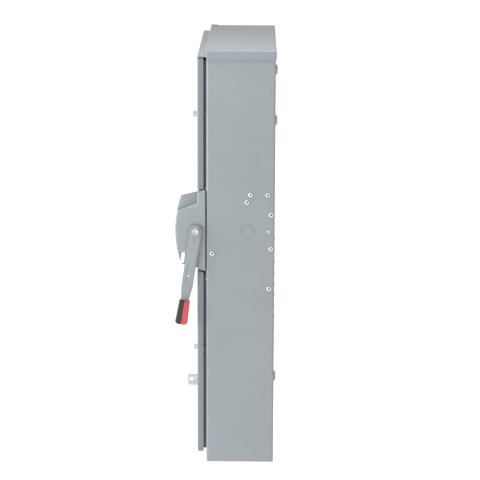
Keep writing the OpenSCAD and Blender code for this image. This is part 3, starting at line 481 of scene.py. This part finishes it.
def on_outer_side(edge):
    points = [vert.co for vert in edge.verts]
    at_rear = all(abs(point.y - housing_high.y) < FLUSH for point in points)
    near = all(abs(point.x - housing_high.x) < FLUSH for point in points)
    tray_far = all(abs(point.x - housing_low.x) < FLUSH for point in points)
    hood_far = all(abs(point.x - housing_low.x - HOOD_INSET) < FLUSH for point in points)
    across = abs(points[0].x - points[1].x) > LONG_ACROSS
    inside = all(abs(face.normal.x) < SIDEWAYS and face.normal.y > REARWARD for face in edge.link_faces)
    return (near or tray_far or hood_far or across) and not at_rear and not inside


middle = (housing_low + housing_high)/2
far_behind = Vector((middle.x, housing_high.y + BEHIND, middle.z))


def faces_out(edge):
    for face in edge.link_faces:
        centre = face.calc_center_median()
        if face.normal.dot(centre - far_behind) < 0:
            return False
    return True


bends = [edge for edge in convex_edges(housing) if on_outer_side(edge) and faces_out(edge)]
round_hole = [edge for edge in bends if edge.calc_length() < HOLE_FACET and
              (edge.verts[0].co - handle_axis).yz.length < HOLE_REACH]
bends = [edge for edge in bends if edge not in round_hole]
bevel(housing, bends, HOUSING_BEND_MM, segments=5, clamp=False)
stand_in("handle_housing", "cabinet", housing, handle_enamel)
print("bends rounded:", len(bends))

# %% [markdown]
# ## The moulded grip
# Both halves of the grip come out of a mould with generous outer radii, while the joint between them
# stays crisp. An edge is rounded when it isn't on the joint, so the two halves still close.

# %% Round the grip halves
GRIP_BEND_MM = 4
JOINT_NEAR = 0.1*MM


def joint_distance(point):
    return abs((point - handle_axis).dot(across_arm))


for name, material in (("grip_front_half", grip_black), ("grip_rear_half", grip_red)):
    half = merged(name)
    grip_low, grip_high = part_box(name)
    rims = []
    for edge in convex_edges(half):
        points = [vert.co for vert in edge.verts]
        at_joint = all(joint_distance(point) < JOINT_NEAR for point in points)
        at_side = all(abs(point.x - grip_low.x) < FLUSH for point in points) or \
            all(abs(point.x - grip_high.x) < FLUSH for point in points)
        if at_side and not at_joint:
            rims.append(edge)
    bevel(half, rims, GRIP_BEND_MM, segments=5, clamp=False)
    stand_in(name, "handle", half, material)
print("grip halves rounded by", GRIP_BEND_MM, "mm")

# %% [markdown]
# ## The pivot bolt
# A hex head is forged, then a cutter turns a cone over its corners. The same order works here: each
# ring takes the smaller of the hexagon and of the cone at its height. A shallow dish in the top is left
# by the forging punch.

# %% Make the hex bolt
HEX_ACROSS = 17*MM
HEAD_T = 8*MM
COLLAR_T = 2*MM
COLLAR_R = 10.4*MM
HEX_STEPS = 96
SHANK_R = 4.9*MM
STEP_UP = 0.01*MM
COLLAR_FLAT = 0.6
COLLAR_TOP_R = COLLAR_R*0.97
CONE_FALL = 0.5
CONE_TOP_R = HEX_ACROSS*0.48
CONE_RINGS_MM = (6, 2.2, 1.8, 1.4, 1.0, 0.6, 0.3, 0.1, 0)
DISH_RINGS = ((0.3*MM, HEX_ACROSS*0.36), (0.9*MM, HEX_ACROSS*0.3))


def hexagon(angle):
    flat = math.pi/3
    return HEX_ACROSS/2/math.cos((angle % flat) - flat/2)


def ring(mesh, centre, x, radius_at):
    verts = []
    for step in range(HEX_STEPS):
        angle = 2*math.pi*step/HEX_STEPS
        radius = radius_at(angle)
        verts.append(mesh.verts.new((x, centre.y + radius*math.cos(angle),
                                     centre.z + radius*math.sin(angle))))
    return verts


def loft(mesh, rings):
    for lower, upper in zip(rings, rings[1:]):
        for step in range(HEX_STEPS):
            after = (step + 1) % HEX_STEPS
            mesh.faces.new((lower[step], lower[after], upper[after], upper[step]))
    mesh.faces.new(list(reversed(rings[0])))
    mesh.faces.new(rings[-1])


bolt_low, bolt_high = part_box("pivot_bolt")
bolt = bmesh.new()
head_end = bolt_high.x
collar_start = head_end - HEAD_T - COLLAR_T
rings = [ring(bolt, handle_axis, bolt_low.x, lambda angle: SHANK_R),
         ring(bolt, handle_axis, collar_start, lambda angle: SHANK_R),
         ring(bolt, handle_axis, collar_start + STEP_UP, lambda angle: COLLAR_R),
         ring(bolt, handle_axis, collar_start + COLLAR_T*COLLAR_FLAT, lambda angle: COLLAR_R),
         ring(bolt, handle_axis, collar_start + COLLAR_T, lambda angle: COLLAR_TOP_R)]
for back_mm in CONE_RINGS_MM:
    cone = CONE_TOP_R + back_mm*MM/CONE_FALL
    rings.append(ring(bolt, handle_axis, head_end - back_mm*MM, lambda angle: min(hexagon(angle), cone)))
for depth, dish_r in DISH_RINGS:
    rings.append(ring(bolt, handle_axis, head_end - depth, lambda angle: dish_r))
loft(bolt, rings)
stand_in("pivot_bolt", "handle", bolt, bolt_zinc)
print("bolt head", round(HEX_ACROSS/MM), "mm across its flats")

# %% [markdown]
# ## The fuses
# A knife-blade fuse is a wound tube closed by two ferrules that are rolled into it, which leaves a bead
# round each end. The knives are flat copper with broken edges. Each fuse is made from its own box, so
# all three stand on the clips that were drawn for them.

# %% Make the fuses
FERRULE_MM = 42
FERRULE_RISE_MM = 0.6
BEAD_DEPTH_MM = 1.4
KNIFE_BEVEL_MM = 0.7
KNIFE_SIDE = 0.9
ROUND_STEPS = 64


def lathe(mesh, centre, profile, slots):
    loops = []
    for height, radius in profile:
        loop = []
        for step in range(ROUND_STEPS):
            angle = 2*math.pi*step/ROUND_STEPS
            place = centre + Vector((radius*math.cos(angle), radius*math.sin(angle), 0))
            loop.append(mesh.verts.new((place.x, place.y, height)))
        loops.append(loop)
    for (lower, upper), slot in zip(zip(loops, loops[1:]), slots):
        for step in range(ROUND_STEPS):
            after = (step + 1) % ROUND_STEPS
            face = mesh.faces.new((lower[step], lower[after], upper[after], upper[step]))
            face.material_index = slot
    bottom = mesh.faces.new(list(reversed(loops[0])))
    top = mesh.faces.new(loops[-1])
    bottom.material_index = slots[0]
    top.material_index = slots[-1]


def rolled_ferrule(start, end, radius):
    step = 1 if end > start else -1
    reach = abs(end - start)
    rim, bead = radius, radius - BEAD_DEPTH_MM*MM
    return [(start, rim - 2*MM), (start + step*1.2*MM, rim - 0.4*MM), (start + step*2.4*MM, rim),
            (start + step*(reach - 9*MM), rim), (start + step*(reach - 7.5*MM), bead),
            (start + step*(reach - 6*MM), rim), (start + step*(reach - 0.4*MM), rim), (end, rim - 0.3*MM)]


for pole in (1, 2, 3):
    name = f"fuse_{pole}"
    fuse_low, fuse_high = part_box(name)
    centre = Vector(((fuse_low.x + fuse_high.x)/2, (fuse_low.y + fuse_high.y)/2, 0))
    radius = (fuse_high.x - fuse_low.x)/2
    drawn = merged(name)
    on_tube = [vert.co.z for vert in drawn.verts if abs((vert.co - centre).xy.length - radius) < MM]
    levels = sorted({round(height, 5) for height in on_tube})
    tube_low, tube_high = levels[0], levels[-1]
    fuse = bmesh.new()
    lower = rolled_ferrule(tube_low, tube_low + FERRULE_MM*MM, radius)
    upper = rolled_ferrule(tube_high, tube_high - FERRULE_MM*MM, radius)
    tube_r = radius - FERRULE_RISE_MM*MM
    profile = lower + [(lower[-1][0], tube_r), (upper[-1][0], tube_r)] + upper[::-1]
    slots = [1]*len(lower) + [0] + [1]*len(upper)
    lathe(fuse, centre, profile, slots)
    knives = [face for face in drawn.faces if abs(face.normal.x) > KNIFE_SIDE]
    knife_x = max(abs(face.calc_center_median().x - centre.x) for face in knives)
    knife_depth = [vert.co for vert in drawn.verts if vert.co.z < tube_low - 2*MM]
    front = min(point.y for point in knife_depth)
    back = max(point.y for point in knife_depth)
    for start, end in ((fuse_low.z, tube_low + MM), (tube_high - MM, fuse_high.z)):
        made = bmesh.ops.create_cube(fuse, size=1)["verts"]
        for vert in made:
            vert.co = Vector((centre.x + 2*vert.co.x*knife_x, (front + back)/2 + vert.co.y*(back - front),
                              (start + end)/2 + vert.co.z*(end - start)))
        faces = dict.fromkeys(face for vert in made for face in vert.link_faces)
        for face in faces:
            face.material_index = 2
        edges = dict.fromkeys(edge for face in faces for edge in face.edges)
        bmesh.ops.bevel(fuse, geom=list(edges), offset=KNIFE_BEVEL_MM*MM, segments=2, profile=0.5,
                        affect="EDGES", material=2)
    drawn.free()
    stand_in(name, "cabinet", fuse, melamine_tube, ferrule_brass, copper)
print("fuses", round((tube_high - tube_low)/MM), "mm long in the tube")

# %% [markdown]
# ## Rivets by rule
# A blind rivet is set from one side: its steel mandrel pulls the tail tight and snaps, and a stub stays in
# the hole of the bright head. The stub and the hole round it get a dark steel, partly painted shade for the
# hole. Every rivet on the side wall is the same, so one Geometry Nodes graph makes the rivet and puts a
# copy on each point. The head is a disc whose height follows a curve of its radius: domed at the rim, sunk
# at the middle. The points are the middles of the drawn rivets.

# %% Build the rivet graph
RIM = 1.0
HOLE = 0.42
STUB_TOP = 0.42
PLATE_T = 0.2*MM
# Each pair is a share of the head's radius and a share of its rise: the stub, its hole, then the dome.
HEAD_CURVE = ((0.0, STUB_TOP), (HOLE*0.8, 0.34), (HOLE, 0.25),
              (HOLE + 0.04, 0.86), (0.62, 1.0), (0.85, 0.72))


def head_height(curve):
    for place, height in HEAD_CURVE:
        curve.points.new(place, height)
    curve.points[0].location = (0.0, STUB_TOP)
    curve.points[-1].location = (RIM, 0.1)


def rivet_graph(name, head_metal, core_metal):
    tree = bpy.data.node_groups.new(name, "GeometryNodeTree")
    face = tree.interface
    face.new_socket("Points", in_out="INPUT", socket_type="NodeSocketGeometry")
    for label, value in (("Head radius", 6.6*MM), ("Rise", 3*MM), ("Shank radius", 3.2*MM), ("Grip", 9*MM)):
        socket = face.new_socket(label, in_out="INPUT", socket_type="NodeSocketFloat")
        socket.default_value = value
        socket.subtype = "DISTANCE"
    face.new_socket("Rivets", in_out="OUTPUT", socket_type="NodeSocketGeometry")
    given = tree.nodes.new("NodeGroupInput").outputs
    rings = add(tree, "GeometryNodeMeshCylinder", {"Vertices": 40, "Side Segments": 1, "Fill Segments": 14,
                                                   "Radius": given["Head radius"], "Depth": PLATE_T})
    spot = tree.nodes.new("GeometryNodeInputPosition").outputs["Position"]
    flat = add(tree, "ShaderNodeVectorMath", {0: spot, 1: (1, 1, 0)}, operation="MULTIPLY")
    reach = add(tree, "ShaderNodeVectorMath", {0: flat.outputs["Vector"]}, operation="LENGTH")
    share = add(tree, "ShaderNodeMath", {0: reach.outputs["Value"], 1: given["Head radius"]},
                operation="DIVIDE")
    shape = add(tree, "ShaderNodeFloatCurve", {"Value": share.outputs["Value"]})
    head_height(shape.mapping.curves[0])
    shape.mapping.update()
    lift = add(tree, "ShaderNodeMath", {0: shape.outputs["Value"], 1: given["Rise"]}, operation="MULTIPLY")
    height = add(tree, "ShaderNodeSeparateXYZ", {"Vector": spot})
    upper = add(tree, "FunctionNodeCompare", {"A": height.outputs["Z"], "B": 0.0}, data_type="FLOAT",
                operation="GREATER_THAN")
    raised = add(tree, "ShaderNodeCombineXYZ", {"Z": lift.outputs["Value"]})
    head = add(tree, "GeometryNodeSetPosition", {"Geometry": rings.outputs["Mesh"],
                                                 "Selection": upper.outputs["Result"],
                                                 "Offset": raised.outputs["Vector"]})
    # The stub and the hole round it take the dark mandrel steel: partly painted shade for the hole.
    in_hole = add(tree, "FunctionNodeCompare", {"A": share.outputs["Value"], "B": HOLE}, data_type="FLOAT",
                  operation="LESS_THAN")
    cored = add(tree, "GeometryNodeStoreNamedAttribute", {"Geometry": head.outputs["Geometry"],
                                                          "Name": "core",
                                                          "Value": in_hole.outputs["Result"]},
                data_type="BOOLEAN", domain="FACE")
    tail = add(tree, "GeometryNodeMeshCylinder", {"Vertices": 32, "Radius": given["Shank radius"],
                                                  "Depth": given["Grip"]})
    half = add(tree, "ShaderNodeMath", {0: given["Grip"], 1: -0.5}, operation="MULTIPLY")
    down = add(tree, "ShaderNodeCombineXYZ", {"Z": half.outputs["Value"]})
    sunk = add(tree, "GeometryNodeTransform", {"Geometry": tail.outputs["Mesh"],
                                               "Translation": down.outputs["Vector"]})
    joined = tree.nodes.new("GeometryNodeJoinGeometry")
    for made in (cored, sunk):
        tree.links.new(made.outputs["Geometry"], joined.inputs["Geometry"])
    smooth = add(tree, "GeometryNodeSetShadeSmooth", {"Geometry": joined.outputs["Geometry"]})
    turned = add(tree, "GeometryNodeInstanceOnPoints", {"Points": given["Points"],
                                                        "Instance": smooth.outputs["Geometry"],
                                                        "Rotation": (0, math.pi/2, 0)})
    real = add(tree, "GeometryNodeRealizeInstances", {"Geometry": turned.outputs["Instances"]})
    bright = add(tree, "GeometryNodeSetMaterial", {"Geometry": real.outputs["Geometry"],
                                                   "Material": head_metal})
    core = add(tree, "GeometryNodeInputNamedAttribute", {"Name": "core"}, data_type="BOOLEAN")
    dark = add(tree, "GeometryNodeSetMaterial", {"Geometry": bright.outputs["Geometry"],
                                                 "Selection": core.outputs["Attribute"],
                                                 "Material": core_metal})
    out = tree.nodes.new("NodeGroupOutput")
    tree.links.new(dark.outputs["Geometry"], out.inputs["Rivets"])
    return tree


graph = rivet_graph("blind_rivet", rivet_metal, mandrel_steel_and_hole_shade)
print("rivet graph has", len(graph.nodes), "nodes")

# %% Put a rivet on each drawn place
wall_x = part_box("enclosure_wrap")[1].x


def islands(name):
    mesh = merged(name)
    left = set(mesh.verts)
    groups = []
    for start in mesh.verts:
        if start not in left:
            continue
        left.discard(start)
        group, to_visit = [start], [start]
        while to_visit:
            vert = to_visit.pop()
            for edge in vert.link_edges:
                other = edge.other_vert(vert)
                if other in left:
                    left.discard(other)
                    group.append(other)
                    to_visit.append(other)
        groups.append([vert.co.copy() for vert in group])
    mesh.free()
    return groups


heads = []
for group in islands("side_wall_rivets"):
    radius = (max(point.z for point in group) - min(point.z for point in group))/2
    centre_y = (max(point.y for point in group) + min(point.y for point in group))/2
    centre_z = (max(point.z for point in group) + min(point.z for point in group))/2
    heads.append((radius, Vector((wall_x, centre_y, centre_z)), max(point.x for point in group) - wall_x))


def run_graph(name, tree, points, values):
    data = bpy.data.meshes.new(name)
    data.from_pydata(points, [], [])
    holder = bpy.data.objects.new(name, data)
    bpy.context.scene.collection.objects.link(holder)
    modifier = holder.modifiers.new("rivets", "NODES")
    modifier.node_group = tree
    for item in tree.interface.items_tree:
        if item.name in values:
            modifier[item.identifier] = values[item.name]
    evaluated = holder.evaluated_get(bpy.context.evaluated_depsgraph_get())
    made = bpy.data.meshes.new_from_object(evaluated)
    bpy.data.objects.remove(holder)
    order = [rivet_metal, mandrel_steel_and_hole_shade]
    slots = [order.index(material) if material in order else 0 for material in made.materials]
    for polygon in made.polygons:
        polygon.material_index = slots[polygon.material_index]
    return made


LARGE_R = 5*MM
large = [head for head in heads if head[0] > LARGE_R]
small = [head for head in heads if head[0] <= LARGE_R]
riveted = bmesh.new()
for group in (large, small):
    made = run_graph("rivets", graph, [head[1] for head in group],
                     {"Head radius": group[0][0], "Rise": group[0][2] - PLATE_T})
    riveted.from_mesh(made)
stand_in("side_wall_rivets", "cabinet", riveted, rivet_metal, mandrel_steel_and_hole_shade)
print("rivets set:", len(large), "large and", len(small), "small")

# %% [markdown]
# ## Floor and light
# The switch hangs on a wall at eye height, so the pale floor lies well under it. A studio lights its
# white floor by itself so that it stays clean white, which a little glow stands in for. The sky is a
# dim even white. Four panels light the switch: a broad one beside the camera for the near wall, a small
# one over the near side for the cap, a small one above in front for the hood and the grip, and a large
# one in front that brightens every rounded fold.

# %% Floor
FLOOR_DROP = 0.75
FLOOR_REACH = 90
FLOOR_GLOW = 0.6
floor_mesh = bpy.data.meshes.new("floor")
floor_z = low.z - FLOOR_DROP
corners = [(-FLOOR_REACH, -FLOOR_REACH, floor_z), (FLOOR_REACH, -FLOOR_REACH, floor_z),
           (FLOOR_REACH, FLOOR_REACH, floor_z), (-FLOOR_REACH, FLOOR_REACH, floor_z)]
floor_mesh.from_pydata(corners, [], [(0, 1, 2, 3)])
floor = bpy.data.objects.new("floor", floor_mesh)
bpy.context.scene.collection.objects.link(floor)
floor_paint, _ = finish("matt_white_floor", "#FCFCFC", 0.9, tone=0.0, relief_mm=0.0,
                        Emission_Color=(1, 1, 1, 1), Emission_Strength=FLOOR_GLOW)
floor_mesh.materials.append(floor_paint)

# %% Light
SKY = 0.55
world = bpy.data.worlds.new("studio")
world.use_nodes = True
world.node_tree.nodes["Background"].inputs["Color"].default_value = (1, 1, 1, 1)
world.node_tree.nodes["Background"].inputs["Strength"].default_value = SKY
bpy.context.scene.world = world
bpy.context.scene.view_settings.view_transform = "Standard"


# Places, aims and sizes are in metres.
def panel_light(name, place, aim, size, watts):
    data = bpy.data.lights.new(name, "AREA")
    data.shape = "RECTANGLE"
    data.size, data.size_y = size
    data.energy = watts
    light = bpy.data.objects.new(name, data)
    light.location = place
    light.rotation_euler = (Vector(aim) - Vector(place)).to_track_quat("-Z", "Y").to_euler()
    bpy.context.scene.collection.objects.link(light)


panel_light("beside_the_camera", (5.5, -0.8, 1.6), (0.35, -0.1, 0), (2.6, 2.6), 9)
panel_light("over_the_near_side", (0.40, -0.05, 1.15), (0.36, -0.1, 0.5), (0.3, 0.3), 3.2)
panel_light("above_in_front", (0.52, -0.85, 1.4), (0.35, -0.28, 0.1), (0.25, 0.25), 7.5)
panel_light("broad_in_front", (1.3, -2.4, 0.2), (0.35, -0.2, 0), (2.0, 2.4), 62)
